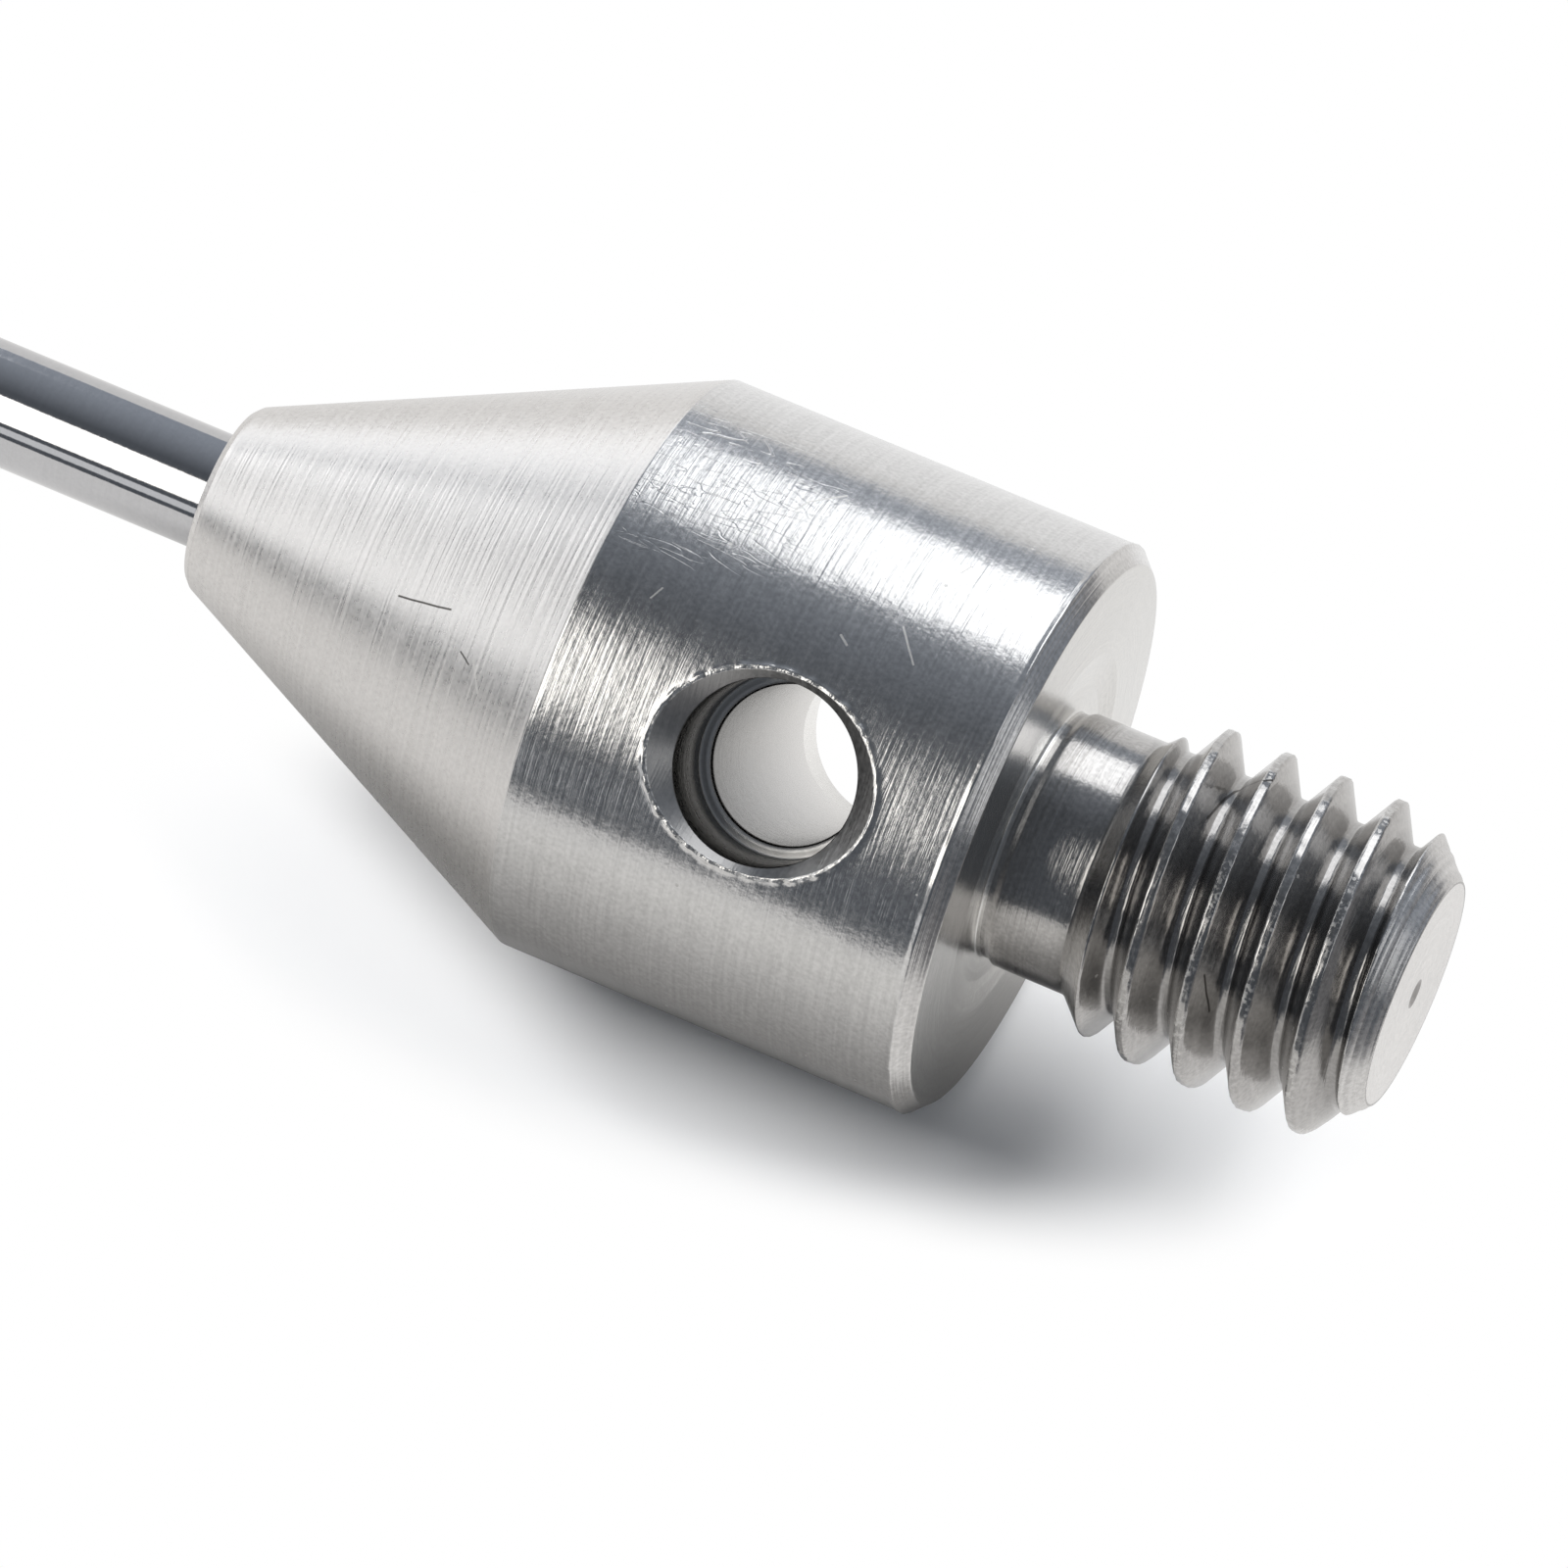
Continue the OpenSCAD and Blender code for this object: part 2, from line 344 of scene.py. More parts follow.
def make_holder(materials):
    """Holder: the turned grid with a window left out round each mouth, closed by the hole's
    grid. Each row takes its finish from its place."""
    points, x, r, first_window = holder_grid()
    rows = len(x)
    quads = quads_of_grid(rows, COLUMNS)
    i, k = np.meshgrid(np.arange(rows - 1), np.arange(COLUMNS), indexing="ij")
    in_rows = (i >= first_window) & (i < first_window + WINDOW_ROWS - 1)
    from_mouth = k % (COLUMNS // 2)
    in_columns = (from_mouth < WINDOW_COLUMNS) | (from_mouth >= COLUMNS // 2 - WINDOW_COLUMNS)
    keep = ~(in_rows & in_columns)

    xm = 0.5 * (x[:-1] + x[1:])
    rm = 0.5 * (r[:-1] + r[1:])
    body = xm < -0.5 * RIM_BEVEL
    at_end = xm > STUD_LEN - DIMPLE_DEPTH
    row_finish = np.select([
        at_end & (rm < DIMPLE_R),
        at_end & (rm < TIP_R - END_EDGE),
        (xm > -RIM_BEVEL) & (rm > HOLDER_R - RIM_BEVEL),
        (np.abs(xm) < SEAT_RELIEF + SLACK) & (rm > NECK_R),
        body & (rm < SOCKET_R + SLACK),
        xm < -HOLDER_LEN,
        body,
        xm < SLACK], [THREAD, STUD_END, RIM, SHOULDER, BORE, CONE, CYLINDER, SHOULDER], THREAD)
    finish = np.repeat(row_finish[:, None], COLUMNS, 1)
    grid_r = np.hypot(points[..., 1], points[..., 2])
    off_bevel = np.abs(grid_r + x[:, None] - TIP_R - STUD_LEN)
    bevel = (off_bevel < BEVEL_NEAR) & (x[:, None] < STUD_LEN)
    finish = np.where(bevel[:-1] & (finish == THREAD), STUD_BEVEL, finish)

    hole, patch_rows, wall_row = hole_grid()
    hole_quads = quads_of_grid(hole.shape[0], hole.shape[1], start=rows * COLUMNS)
    row = np.arange(hole.shape[0] - 1)
    far = row > row[::-1]
    row = np.minimum(row, row[::-1])
    hole_finish = np.select([
        row < patch_rows - BURR_ROWS,
        row <= patch_rows,
        row < wall_row,
        (row < wall_row + STEP_ROW) & far,
        row < wall_row + STEP_ROW,
        (row < wall_row + BORE_ROW) & ~far],
        [CYLINDER, BURR, COUNTERSINK, FAR_END, WIDE_END, STEP], BORE)

    all_points = np.concatenate([points.reshape(-1, 3), hole.reshape(-1, 3)])
    all_quads = np.concatenate([quads[keep], hole_quads.reshape(-1, 4)])
    all_finish = np.concatenate([finish[keep], np.repeat(hole_finish, hole.shape[1])])
    return piece_from("turned_holder", all_points, all_quads, all_finish, materials)


def make_turned(name, path, material):
    """A piece turned about X from a closed profile of (x, radius) points."""
    turn = np.arange(TURNED_COLUMNS) * FULL_TURN / TURNED_COLUMNS
    points = around_x(path[:, :1], path[:, 1:], turn[None, :])
    quads = quads_of_grid(len(path), TURNED_COLUMNS).reshape(-1, 4)
    return piece_from(name, points.reshape(-1, 3), quads, np.zeros(len(quads)), [material])


def stem_path():
    """Profile of the stem: spigot in the ball, spherical cup, ground rod, end in the socket."""
    seat = BALL_R + BOND
    a = np.linspace(math.asin(PIN_R / seat), math.asin(STEM_R / seat), CUP_ROWS)
    cup = np.stack([-REACH + seat * np.cos(a), seat * np.sin(a)], 1)
    pin = np.array([(-REACH + PIN_REACH, 0), (-REACH + PIN_REACH, PIN_R)])
    lip, end = cup[-1, 0], SOCKET_END - BOND
    rod_x = (lip + STEM_BREAK, lip + STEM_HOLD, *ROD_ROWS, end - STEM_HOLD, end - STEM_BREAK)
    rod = np.array([*[(x, STEM_R) for x in rod_x], (end, STEM_R - STEM_BREAK), (end, 0)])
    return np.concatenate([pin, cup, rod])


def ball_path():
    """Profile of the ball: a half circle from the far pole to the rim of the spigot's hole,
    then the blind hole."""
    hole_r = PIN_R + BOND
    a = np.linspace(math.pi, math.asin(hole_r / BALL_R), BALL_ROWS)
    round_part = np.stack([-REACH + BALL_R * np.cos(a), BALL_R * np.sin(a)], 1)
    hole_end = -REACH + PIN_REACH - BOND
    return np.concatenate([round_part, [(hole_end, hole_r), (hole_end, 0)]])


def nodes_of(name):
    """A new material with its node tree cleared to one shader and the output."""
    m = bpy.data.materials.new(name)
    m.use_nodes = True
    t = m.node_tree
    t.nodes.clear()
    out = t.nodes.new("ShaderNodeOutputMaterial")
    shader = t.nodes.new("ShaderNodeBsdfPrincipled")
    t.links.new(shader.outputs[0], out.inputs[0])
    return m, t, shader


def add(t, kind, inputs, **settings):
    """Adds a shader node. Each input is a number or colour, or the socket to link from."""
    n = t.nodes.new("ShaderNode" + kind)
    for key, value in settings.items():
        setattr(n, key, value)
    for key, value in inputs.items():
        if isinstance(value, bpy.types.NodeSocket):
            t.links.new(value, n.inputs[key])
        else:
            n.inputs[key].default_value = value
    return n


def math_of(t, operation, a, b):
    """The result of one Math node on two numbers or sockets."""
    return add(t, "Math", {0: a, 1: b}, operation=operation).outputs[0]


def vector_of(t, operation, inputs, output=0):
    """The result of one Vector Math node."""
    return add(t, "VectorMath", inputs, operation=operation).outputs[output]


def noise_of(t, place, scale, **inputs):
    """A noise texture's value at a place."""
    return add(t, "TexNoise", {"Vector": place, "Scale": scale, **inputs}).outputs[0]


def most_of(t, masks):
    """The greatest of several masks."""
    most = masks[0]
    for mask in masks[1:]:
        most = math_of(t, "MAXIMUM", most, mask)
    return most


def spread_of(t, value, low, high, to_low=0.0, to_high=1.0, smooth=False):
    """A value mapped from low..high onto to_low..to_high and held there."""
    inputs = {"Value": value, "From Min": low, "From Max": high,
              "To Min": to_low, "To Max": to_high}
    kind = "SMOOTHSTEP" if smooth else "LINEAR"
    return add(t, "MapRange", inputs, interpolation_type=kind).outputs[0]


def blend_of(t, factor, a, b):
    """One colour faded into another by a factor."""
    n = add(t, "Mix", {"Factor": factor}, data_type="RGBA")
    for key, value in (("A", a), ("B", b)):
        if isinstance(value, bpy.types.NodeSocket):
            t.links.new(value, n.inputs[key])
        else:
            n.inputs[key].default_value = (*value, 1)
    return n.outputs["Result"]


def line_mask(t, place, points, width):
    """1 on a thin line through points (mm) and 0 elsewhere: the distance to each straight run
    in turn, fading over the line's half width."""
    masks = []
    for p, q in zip(np.array(points[:-1]), np.array(points[1:])):
        run = q - p
        off = vector_of(t, "SUBTRACT", {0: place, 1: tuple(p * MM)})
        step = vector_of(t, "DOT_PRODUCT", {0: off, 1: tuple(run / (run @ run) / MM)}, "Value")
        foot = vector_of(t, "SCALE", {0: tuple(run * MM), "Scale": spread_of(t, step, 0, 1)})
        gap = vector_of(t, "DISTANCE", {0: off, 1: foot}, "Value")
        masks.append(spread_of(t, gap, 0.5 * width * MM, 0.25 * width * MM))
    return most_of(t, masks)


# Hair scratches: the tilt of all sets, the lean and shift of each, the size of the noise that
# they follow (mm) and the scale of its patches, how near to the noise's middle a hair begins and
# is full, the patch levels between which it comes in, the middle of the place on the cylinder
# that has them, and where they fade round it (mm).
HAIR_TILT = (0.3, 0.2)
HAIR_SETS = ((0.5, 1.0), (1.3, 5.0), (2.4, 9.0))
HAIR_SIZE = (0.6, 0.12, 0.3)
HAIR_PATCHES = 0.45
HAIR_EDGE, HAIR_FULL = 0.022, 0.008
HAIR_NONE, HAIR_ALL = 0.53, 0.57
HAIR_PLACE = (-4.5, 1.1, 3.32)
HAIR_OUTER, HAIR_INNER = 1.7, 0.6


def hair_mask(t, place):
    """1 on hair scratches and 0 elsewhere: where noise drawn out along a leaning direction
    crosses its middle value, for three directions, kept only in patches near the cone's edge."""
    masks = []
    for lean, shift in HAIR_SETS:
        leaning = add(t, "Mapping", {
            0: place, "Location": (shift, 0, 0), "Rotation": (*HAIR_TILT, lean),
            "Scale": tuple(1 / (size * MM) for size in HAIR_SIZE)}).outputs[0]
        noise = noise_of(t, leaning, 1.0, Detail=0.0)
        off = math_of(t, "ABSOLUTE", math_of(t, "SUBTRACT", noise, 0.5), 0.0)
        patch = noise_of(t, leaning, HAIR_PATCHES, Detail=0.0)
        line = spread_of(t, off, HAIR_EDGE, HAIR_FULL)
        there = spread_of(t, patch, HAIR_NONE, HAIR_ALL)
        masks.append(math_of(t, "MULTIPLY", line, there))
    gap = vector_of(t, "DISTANCE", {0: place, 1: tuple(MM * v for v in HAIR_PLACE)}, "Value")
    near = spread_of(t, gap, HAIR_OUTER * MM, HAIR_INNER * MM)
    return math_of(t, "MULTIPLY", most_of(t, masks), near)


# Sizes of the steel's marks (mm): gap of the tool's lines, grain, waviness, and the cells and
# greatest radius (as a share of a cell) of the specks.
LINE_GAP, GRAIN_SIZE, WAVE_SIZE = 0.05, 0.055, 0.45
SPECK_CELL, SPECK_SHARE = 0.3, 0.085
# The noise levels between which colour and roughness go from one end to the other.
SAND_LOW, SAND_HIGH = 0.35, 0.65
ROUGH_SPREAD = 0.14
# Bare metal in scratches and torn edges, dust, and painted shade in the thread's roots.
MARK_COLOUR, MARK_ROUGH = (0.74, 0.73, 0.71), 0.5
FIBRE_COLOUR = (0.1, 0.095, 0.09)
ROOT_SHADE_COLOUR, ROOT_SHADE_SHARE = (0.12, 0.115, 0.11), 0.35
# The bore's painted light and shade: a factor on its colour from its far end (paler) to the end
# near the camera (darker).
BORE_HALF, BORE_PAINTED_LIGHT, BORE_PAINTED_SHADE = 2.2, 1.6, 0.25
# The torn edge: how far below the crest it sets in (mm), the levels of the grain between which
# it tears, and those of the waviness with the shares that they leave.
TORN_DEPTH = 0.015
TORN_GRAIN = (0.5, 0.62)
TORN_WAVE = (0.45, 0.65, 0.1, 0.8)
# The painted shade in the roots: heights over the core between which it fades, and the run-in
# where it starts.
ROOT_TOP, ROOT_FULL = CORE_R + 0.25, CORE_R + 0.02
ROOT_START, ROOT_ON = THREAD_FROM - 0.1, THREAD_FROM + 0.15


def turned_steel(name, colour, rough, lines, grain, wavy, streak=0.12, drawn_by="x",
                 scratches=(), fibres=(), specks=0.0, crest=0.0, around=1.5, hairs=0.0):
    """Turned stainless steel, or ground carbide with finer marks, on Object coordinates. Noise
    drawn out round the axis, by around (mm), gives the tool's lines, fine noise the grain and
    wide noise the waviness; their heights (mm) and that of the hair scratches make the bump.
    The lines run round X, or lie as rings on a face (radius) or in the bore (hole). They also
    streak the colour. Scratches, specks and the burr beyond the crest radius are dull and pale,
    the thread's roots are darker with painted shade, the bore has painted light and shade from a
    pale far end to a dark near end, and fibres of dust are dark."""
    m, t, s = nodes_of(name)
    s.inputs["Metallic"].default_value = 1
    place = add(t, "TexCoord", {}).outputs["Object"]
    x, y, z = add(t, "SeparateXYZ", {0: place}).outputs
    radius = vector_of(t, "LENGTH", {0: add(t, "CombineXYZ", {1: y, 2: z}).outputs[0]}, "Value")
    along = radius if drawn_by == "radius" else x
    if drawn_by == "hole":
        axis = (0, math.cos(HOLE_TURN), math.sin(HOLE_TURN))
        along = vector_of(t, "DOT_PRODUCT", {0: place, 1: axis}, "Value")
    drawn = add(t, "CombineXYZ", {0: along, 1: y, 2: z}).outputs[0]
    drawn_out = tuple(1 / (size * MM) for size in (LINE_GAP, around, around))
    drawn = add(t, "Mapping", {0: drawn, "Scale": drawn_out}).outputs[0]
    cut = noise_of(t, drawn, 1.0, Detail=3.0, Roughness=0.65)
    fine = noise_of(t, place, 1 / (GRAIN_SIZE * MM), Detail=1.0)
    wide = noise_of(t, place, 1 / (WAVE_SIZE * MM), Detail=2.0)

    height = math_of(t, "MULTIPLY", cut, lines)
    if hairs:
        scored = math_of(t, "MULTIPLY", hair_mask(t, place), hairs)
        height = math_of(t, "SUBTRACT", height, scored)
    for noise, tall in ((fine, grain), (wide, wavy)):
        height = math_of(t, "ADD", height, math_of(t, "MULTIPLY", noise, tall))
    bump = add(t, "Bump", {"Strength": 1.0, "Distance": MM, "Height": height})
    t.links.new(bump.outputs[0], s.inputs["Normal"])

    dark, pale = [tuple(c * k for c in colour) for k in (1 - streak, 1 + 0.5 * streak)]
    sand = math_of(t, "ADD", *[math_of(t, "MULTIPLY", noise, 0.5) for noise in (cut, fine)])
    tint = blend_of(t, spread_of(t, sand, SAND_LOW, SAND_HIGH), dark, pale)
    dull = spread_of(t, sand, SAND_LOW, SAND_HIGH,
                     rough * (1 - ROUGH_SPREAD), rough * (1 + ROUGH_SPREAD))
    # Painted light and shade in the bore: its colour is scaled from paler at the far end to darker
    # at the end near the camera.
    if drawn_by == "hole":
        level = spread_of(t, along, -BORE_HALF * MM, BORE_HALF * MM, BORE_PAINTED_LIGHT, BORE_PAINTED_SHADE)
        tint = vector_of(t, "SCALE", {0: tint, "Scale": level})
    marks = [line_mask(t, place, points, width) for points, width in scratches]
    if specks:
        cell = add(t, "TexVoronoi", {"Vector": place, "Scale": 1 / (SPECK_CELL * MM)})
        chance = add(t, "SeparateColor", {0: cell.outputs["Color"]}).outputs[0]
        reach = spread_of(t, chance, 1 - specks, 1, 0, SPECK_SHARE)
        marks.append(math_of(t, "LESS_THAN", cell.outputs["Distance"], reach))
    if crest:
        torn = math_of(t, "MULTIPLY", spread_of(t, fine, *TORN_GRAIN),
                       spread_of(t, wide, *TORN_WAVE))
        edge = spread_of(t, radius, (crest - TORN_DEPTH) * MM, crest * MM)
        marks.append(math_of(t, "MULTIPLY", torn, edge))
        # Painted shade in the thread's roots: the colour darkens toward the core, from the run-in
        # on.
        root_shade = spread_of(t, radius, ROOT_TOP * MM, ROOT_FULL * MM, 0, ROOT_SHADE_SHARE)
        cut_part = spread_of(t, x, ROOT_START * MM, ROOT_ON * MM)
        tint = blend_of(t, math_of(t, "MULTIPLY", root_shade, cut_part), tint, ROOT_SHADE_COLOUR)
    if marks:
        marked = most_of(t, marks)
        tint = blend_of(t, marked, tint, MARK_COLOUR)
        dull = add(t, "Mix", {"Factor": marked, "A": dull, "B": MARK_ROUGH}).outputs[0]
    for points, width in fibres:
        tint = blend_of(t, line_mask(t, place, points, width), tint, FIBRE_COLOUR)
    t.links.new(tint, s.inputs["Base Color"])
    t.links.new(dull, s.inputs["Roughness"])
    return m


RUBY_DARK, RUBY_PALE = (0.5, 0.004, 0.02), (0.75, 0.02, 0.06)
RUBY_CLOUD = 1.1
RUBY_ROUGH, RUBY_IOR, RUBY_CLEAR = 0.03, 1.76, 0.55


def polished_ruby():
    """Synthetic ruby: clear deep red, with a faint cloud in its colour from wide noise."""
    m, t, s = nodes_of("polished_ruby")
    place = add(t, "TexCoord", {}).outputs["Object"]
    cloud = noise_of(t, place, 1 / (RUBY_CLOUD * MM))
    t.links.new(blend_of(t, cloud, RUBY_DARK, RUBY_PALE), s.inputs["Base Color"])
    s.inputs["Roughness"].default_value = RUBY_ROUGH
    s.inputs["IOR"].default_value = RUBY_IOR
    s.inputs["Transmission Weight"].default_value = RUBY_CLEAR
    return m


# Marks seen in the photograph: runs of places (mm) with the line's width.
CYLINDER_SCRATCHES = [
    ([(-1.694, 0.071, 3.499), (-1.538, -0.131, 3.497), (-1.395, -0.305, 3.487)], 0.03),
    ([(-3.465, 0.984, 3.359), (-3.384, 1.171, 3.298), (-3.224, 1.325, 3.239),
      (-3.068, 1.484, 3.17)], 0.03),
    ([(-4.434, -0.761, 3.416), (-4.361, -0.607, 3.447)], 0.025),
    ([(-2.288, -0.313, 3.486), (-2.177, -0.394, 3.478)], 0.035),
    ([(-1.448, 1.045, 3.34), (-1.378, 1.209, 3.285)], 0.025)]
CONE_SCRATCHES = [
    ([(-6.137, -1.86, 2.431), (-6.044, -2.003, 2.372), (-5.949, -2.151, 2.3)], 0.03),
    ([(-5.942, 1.099, 2.955), (-5.742, 1.197, 3.017), (-5.562, 1.311, 3.061)], 0.02),
    ([(-6.495, -2.246, 1.839), (-6.29, -2.362, 1.846)], 0.02)]
CONE_FIBRES = [
    ([(-7.349, -1.323, 2.114), (-7.174, -1.346, 2.196), (-7.016, -1.36, 2.274),
      (-6.83, -1.381, 2.363), (-6.649, -1.393, 2.454)], 0.03),
    ([(-6.333, -1.791, 2.369), (-6.259, -1.842, 2.373), (-6.18, -1.902, 2.373)], 0.025)]
THREAD_FIBRES = [
    ([(2.013, 0.237, 1.638), (2.034, 0.543, 1.485), (2.054, 0.69, 1.392),
      (2.086, 0.839, 1.304), (2.149, 0.97, 1.249), (2.284, 0.923, 1.534),
      (2.418, 0.883, 1.757), (2.485, 0.951, 1.719)], 0.045),
    ([(2.726, -1.373, 1.202), (2.794, -1.455, 0.945), (2.833, -1.479, 0.802),
      (2.862, -1.509, 0.662)], 0.035)]

# Each finish: name, colour, roughness, heights (mm) of lines, grain and waviness, then the
# streak in its colour. The order is that of the finish numbers above.
steel_finishes = [
    turned_steel("satin_cone", (0.70, 0.685, 0.67), 0.3, 0.0055, 0.0008, 0.004, 0.12,
                 scratches=CONE_SCRATCHES, fibres=CONE_FIBRES, around=3.0),
    turned_steel("bright_cylinder", (0.66, 0.655, 0.65), 0.2, 0.0038, 0.0014, 0.006, 0.15,
                 scratches=CYLINDER_SCRATCHES, specks=0.3, hairs=0.0022, around=1.9),
    turned_steel("faced_shoulder", (0.70, 0.69, 0.67), 0.22, 0.004, 0.001, 0.003, 0.12,
                 drawn_by="radius"),
    turned_steel("cut_thread", (0.48, 0.47, 0.46), 0.18, 0.0045, 0.0012, 0.003, 0.2,
                 fibres=THREAD_FIBRES, specks=0.3, crest=THREAD_R - 0.015),
    turned_steel("drilled_hole", (0.45, 0.445, 0.44), 0.26, 0.002, 0.0001, 0.006, 0.05,
                 drawn_by="hole"),
    turned_steel("turned_bevel", (0.66, 0.65, 0.64), 0.2, 0.012, 0.0006, 0.0, 0.2, around=9.0),
    # drill_step: painted light, a far paler colour than the bore's steel that stands in for light
    # on the ring.
    turned_steel("drill_step", (0.92, 0.91, 0.89), 0.5, 0.002, 0.0005, 0.0, 0.1,
                 drawn_by="radius"),
    turned_steel("wide_end", (0.75, 0.74, 0.72), 0.3, 0.008, 0.001, 0.002, 0.35,
                 drawn_by="hole"),
    # far_end: painted light, a near-white colour, paler than the bore's steel, that makes the
    # hole's far side look lit.
    turned_steel("far_end", (0.93, 0.93, 0.92), 0.06, 0.0005, 0.0002, 0.0005, 0.02),
    turned_steel("torn_burr", (0.85, 0.84, 0.82), 0.3, 0.004, 0.012, 0.004, 0.4),
    turned_steel("stud_bevel", (0.72, 0.71, 0.70), 0.28, 0.01, 0.001, 0.0, 0.25, around=9.0),
    turned_steel("countersink", (0.47, 0.465, 0.46), 0.33, 0.004, 0.0005, 0.001, 0.15),
    turned_steel("faced_end", (0.86, 0.85, 0.84), 0.24, 0.006, 0.0012, 0.003, 0.12,
                 drawn_by="radius")]
carbide = turned_steel("polished_carbide", (0.55, 0.55, 0.56), 0.07, 0.0002, 0.0002, 0.0005, 0.04)

holder = make_holder(steel_finishes)
stem = make_turned("ground_stem", stem_path(), carbide)
ball = make_turned("ruby_ball", ball_path(), polished_ruby())
for piece, node, slot in (
        (holder, "holder", "steel"), (stem, "stem", "carbide"), (ball, "ball", "ruby")):
    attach(piece, "root")
    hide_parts(node)

# The stylus lies on the floor on the edge of its cone and on its ball.
FLOOR_SLOPE = -0.1006
FLOOR_HALF = 400.0
# Patches of lit paper that hold the shadow: middle, half length, half width (mm) and turn in
# degrees, and the shares of their size between which they fade.
PAPER_PATCHES = ((-2.9, -1.5, 8.2, 2.8, 11), (-25.5, -0.5, 10.2, 3.6, 0))
FADE_FROM, FADE_TO = 0.62, 1.0
PAPER = (0.93, 0.93, 0.93)
# How bright the metal mirrors the floor, painted shade and light that only glossy rays see: over y
# (mm) from behind to the front, then the colours to the right of the shoulder, far to the right
# and to the left of the nose, each with the x between which it fades (mm), and the y from which
# the mirrored floor is plain behind.
MIRROR_BACK, MIRROR_FRONT = 4, -20
MIRROR_LEVELS = ((2, 0.95), (0, 0.42), (-4, 0.27), (-7, 0.45), (-11, 0.66))
MIRROR_WARMTH = (1, 0.985, 0.965)
MIRROR_BACK_COLOUR, MIRROR_FRONT_COLOUR = (1, 1, 1), (0.85, 0.84, 0.82)
STUD_SIDE, STUD_SIDE_COLOUR = (0.7, 2.2), (0.85, 0.84, 0.83)
FAR_RIGHT, FAR_RIGHT_COLOUR = (12, 18), (0.22, 0.22, 0.23)
NOSE_SIDE, NOSE_SIDE_COLOUR = (-13.5, -8), (0.9, 0.89, 0.88)
PLAIN_BEHIND = 1.5


def mirrored_floor(t, x, y):
    """Colour in which the metal mirrors the floor, with painted shade and light: a ramp over y,
    blended over x into the colours beside the stud, far to the right and beside the nose."""
    ahead = spread_of(t, y, MIRROR_BACK * MM, MIRROR_FRONT * MM)
    dim = add(t, "ValToRGB", {0: ahead})
    ramp = dim.color_ramp.elements
    ramp[0].position, ramp[0].color = 0.0, (*MIRROR_BACK_COLOUR, 1)
    ramp[1].position, ramp[1].color = 1.0, (*MIRROR_FRONT_COLOUR, 1)
    for place, level in MIRROR_LEVELS:
        share = (MIRROR_BACK - place) / (MIRROR_BACK - MIRROR_FRONT)
        ramp.new(share).color = (*[level * c for c in MIRROR_WARMTH], 1)
    beside_stud, far_right, off_nose = [
        spread_of(t, x, low * MM, high * MM, smooth=True)
        for low, high in (STUD_SIDE, FAR_RIGHT, NOSE_SIDE)]
    shine = blend_of(t, beside_stud, dim.outputs[0], STUD_SIDE_COLOUR)
    shine = blend_of(t, far_right, shine, FAR_RIGHT_COLOUR)
    return blend_of(t, off_nose, NOSE_SIDE_COLOUR, shine)


def make_floor():
    """A flat square sheet through the edge of the cone, falling along X by the slope. Round the
    holder and the ball it is lit paper that holds the shadow; further out the camera sees plain
    white, and the metal mirrors it with painted shade, dimmer in front and far to the right."""
    g = FLOOR_HALF * np.array([(-1, -1), (1, -1), (1, 1), (-1, 1)])
    height = -HOLDER_R + FLOOR_SLOPE * (g[:, 0] + HOLDER_LEN)
    mesh = bpy.data.meshes.new("floor")
    mesh.from_pydata(np.column_stack([g, height]) * MM, [], [(0, 1, 2, 3)])
    m, t, s = nodes_of("white_paper")
    s.inputs["Roughness"].default_value = 0.9
    s.inputs["Specular IOR Level"].default_value = 0.1
    place = add(t, "TexCoord", {}).outputs["Object"]
    x, y, _ = add(t, "SeparateXYZ", {0: place}).outputs
    path = add(t, "LightPath", {}).outputs
    fade = 1.0
    for mid_x, mid_y, long, wide, turn in PAPER_PATCHES:
        scaled = add(t, "Mapping", {
            0: place, "Location": (mid_x * MM, mid_y * MM, 0),
            "Rotation": (0, 0, math.radians(turn)),
            "Scale": (long * MM, wide * MM, 1)}, vector_type="TEXTURE").outputs[0]
        away = vector_of(t, "LENGTH", {0: scaled}, "Value")
        fade = math_of(t, "MINIMUM", fade, spread_of(t, away, FADE_FROM, FADE_TO, smooth=True))
    mirrored = path["Is Glossy Ray"]
    seen = most_of(t, [path["Is Camera Ray"], mirrored, path["Is Transmission Ray"]])
    # Painted shade and light in the floor as the metal mirrors it.
    shine = mirrored_floor(t, x, y)
    t.links.new(blend_of(t, mirrored, PAPER, shine), s.inputs["Base Color"])
    white = add(t, "Emission", {0: blend_of(t, mirrored, (1, 1, 1), shine)})
    behind = math_of(t, "MULTIPLY", mirrored, spread_of(t, y, 0, PLAIN_BEHIND * MM))
    share = math_of(t, "MULTIPLY", seen, math_of(t, "MAXIMUM", fade, behind))
    mix = add(t, "MixShader", {0: share, 1: s.outputs[0], 2: white.outputs[0]})
    t.links.new(mix.outputs[0], t.nodes["Material Output"].inputs[0])
    mesh.materials.append(m)
    floor = bpy.data.objects.new("floor", mesh)
    bpy.context.scene.collection.objects.link(floor)
    return floor


floor = make_floor()


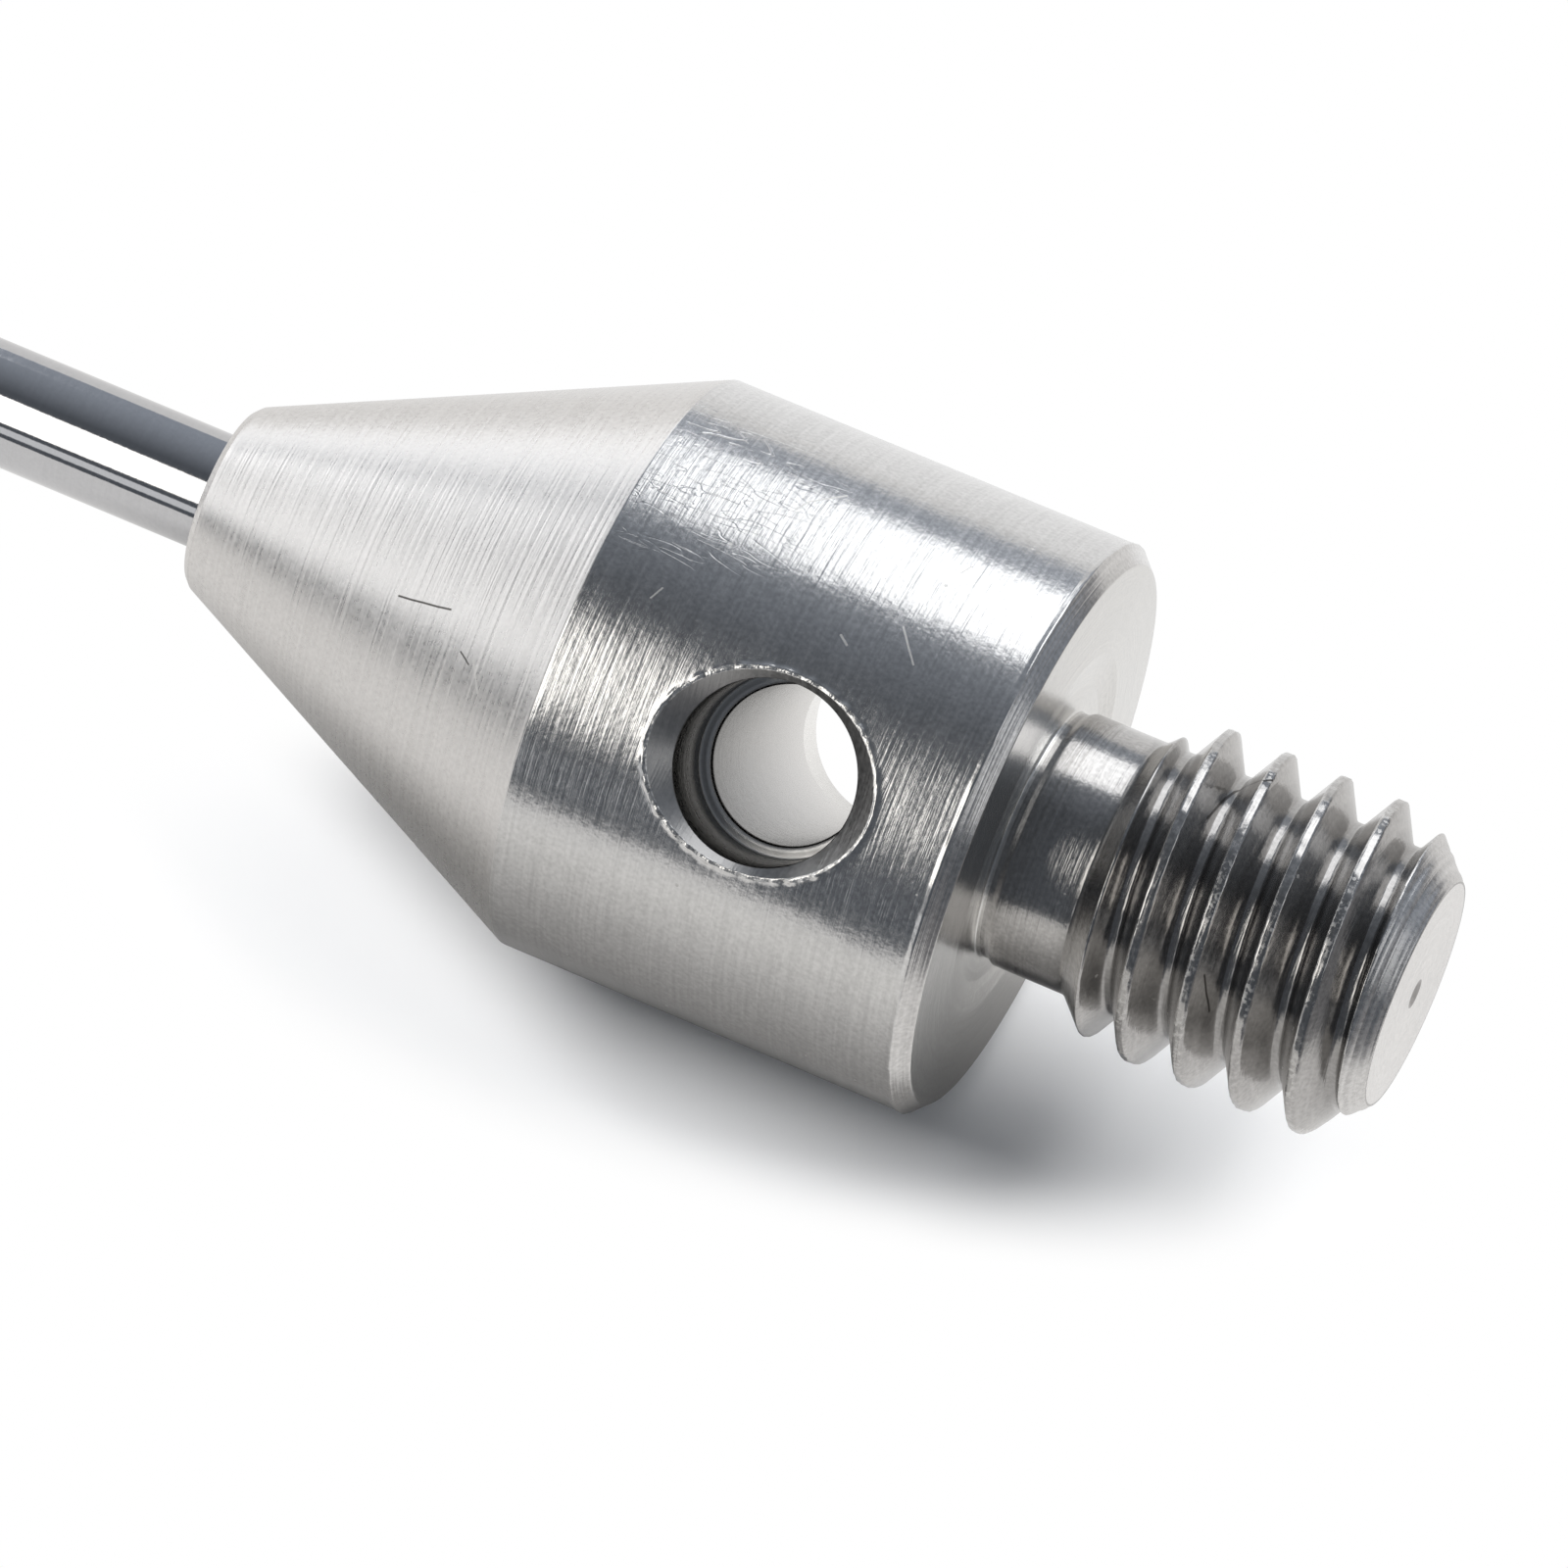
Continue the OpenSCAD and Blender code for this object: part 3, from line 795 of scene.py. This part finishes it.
def softbox(name, centre, aim, width, height, radiance, shape="RECTANGLE", colour=(1, 1, 1)):
    """A flat lamp at centre (mm) that faces aim; radiance 1 is plain white. Its width runs
    along X, or along Y where it faces nearly along X."""
    lamp = bpy.data.lights.new(name, "AREA")
    lamp.shape = shape
    lamp.size = width * MM
    lamp.size_y = height * MM
    lamp.energy = radiance * math.pi * width * height * MM * MM
    lamp.color = colour
    o = bpy.data.objects.new(name, lamp)
    bpy.context.scene.collection.objects.link(o)
    c, a = np.array(centre, float), np.array(aim, float)
    z = (c - a) / np.linalg.norm(c - a)
    x = np.array([1.0, 0, 0]) - z * z[0]
    if np.linalg.norm(x) < 0.3:
        x = np.array([0, 1.0, 0]) - z * z[1]
    x /= np.linalg.norm(x)
    y = np.cross(z, x)
    o.matrix_world = Matrix([[*v, 0] for v in np.array([x, y, z]).T] + [[0, 0, 0, 1]])
    o.location = c * MM
    o.visible_camera = False
    return o


def round_place(x, distance, degrees):
    """A place at x and at that distance from the axis, turned from +Y toward +Z."""
    a = math.radians(degrees)
    return (x, distance * math.cos(a), distance * math.sin(a))


# The back light shows in the metal and lights the floor, the next lamps show in the metal only,
# and the ceiling and rear lamps light the floor only.
softbox("back_light", round_place(10, 75, 38), (10, 0, 0), 64, 50, 1.9)
mirrored_lights = [
    softbox("front_light", round_place(-41.6, 75, 126), (-41.6, 0, 0), 41.6, 70, 1.9,
            "ELLIPSE", (1, 0.97, 0.92)),
    softbox("left_light", (-93, 0, 33), (-8, 0, 0), 42, 88, 1.35),
    softbox("far_light", (-72, 66, 14), (-8, 0, 0), 84, 50, 1.15),
    softbox("right_light", (80, 7, 23), (3, 0, 0), 50, 18, 0.9),
    softbox("low_light", round_place(-44, 75, 164), (-44, 0, 0), 32, 16, 0.75)]
for o in mirrored_lights:
    o.visible_diffuse = False
floor_lights = [
    softbox("ceiling_light", round_place(-48, 120, 101), (-2, 0, -4), 66, 66, 11.8),
    softbox("rear_light", round_place(34, 120, 58), (1, 0, -4), 60, 60, 12.5)]
floor_only = bpy.data.collections.new("floor_only")
floor_only.objects.link(floor)
for o in floor_lights:
    o.visible_glossy = False
    o.light_linking.receiver_collection = floor_only

# The room is white for the camera. Otherwise it is a dim, slightly cool grey that brightens
# toward the back.
ROOM_TINT = (0.85, 0.93, 1.06)
ROOM_DIM, ROOM_BRIGHT = 0.13, 0.46
world = bpy.data.worlds.new("room")
bpy.context.scene.world = world
world.use_nodes = True
room = world.node_tree
toward = add(room, "SeparateXYZ", {0: add(room, "TexCoord", {}).outputs["Generated"]}).outputs
rise = spread_of(room, toward[1], 0, 1, ROOM_DIM, ROOM_BRIGHT)
seen_plain = add(room, "LightPath", {}).outputs["Is Camera Ray"]
level = add(room, "Mix", {"Factor": seen_plain, "A": rise, "B": 1.0}).outputs[0]
background = room.nodes["Background"].inputs
room.links.new(blend_of(room, seen_plain, ROOM_TINT, (1, 1, 1)), background[0])
room.links.new(level, background[1])

# Camera of the photograph: turn about Z, height and roll in degrees, then its place from the
# origin along its own right, up and back directions (mm), and the lens in picture widths.
CAMERA_TURN, CAMERA_HEIGHT, CAMERA_ROLL = 26.1103, 62.083, -0.6962
CAMERA_SIDE, CAMERA_UP, CAMERA_AWAY = -2.8554, 0.581, 153.9199
LENS_WIDTHS = 13794.9 / 1600
SENSOR_WIDTH = 36
CLIP_START, CLIP_END = 0.002, 10


def make_camera():
    """A camera whose right, up and back directions follow from turn, height and roll."""
    a, e, c = map(math.radians, (CAMERA_TURN, CAMERA_HEIGHT, CAMERA_ROLL))
    right = np.array([math.cos(a), math.sin(a), 0])
    back = np.array([math.sin(a) * math.cos(e), -math.cos(a) * math.cos(e), math.sin(e)])
    up = np.cross(back, right)
    right, up = math.cos(c) * right + math.sin(c) * up, math.cos(c) * up - math.sin(c) * right
    place = (right * CAMERA_SIDE + up * CAMERA_UP + back * CAMERA_AWAY) * MM
    data = bpy.data.cameras.new("camera")
    data.sensor_width = SENSOR_WIDTH
    data.lens = SENSOR_WIDTH * LENS_WIDTHS
    data.clip_start = CLIP_START
    data.clip_end = CLIP_END
    camera = bpy.data.objects.new("camera", data)
    axes = np.array([right, up, back]).T
    camera.matrix_world = Matrix([[*v, p] for v, p in zip(axes, place)] + [[0, 0, 0, 1]])
    bpy.context.scene.collection.objects.link(camera)
    bpy.context.scene.camera = camera


make_camera()
bpy.context.scene.view_settings.view_transform = "Standard"
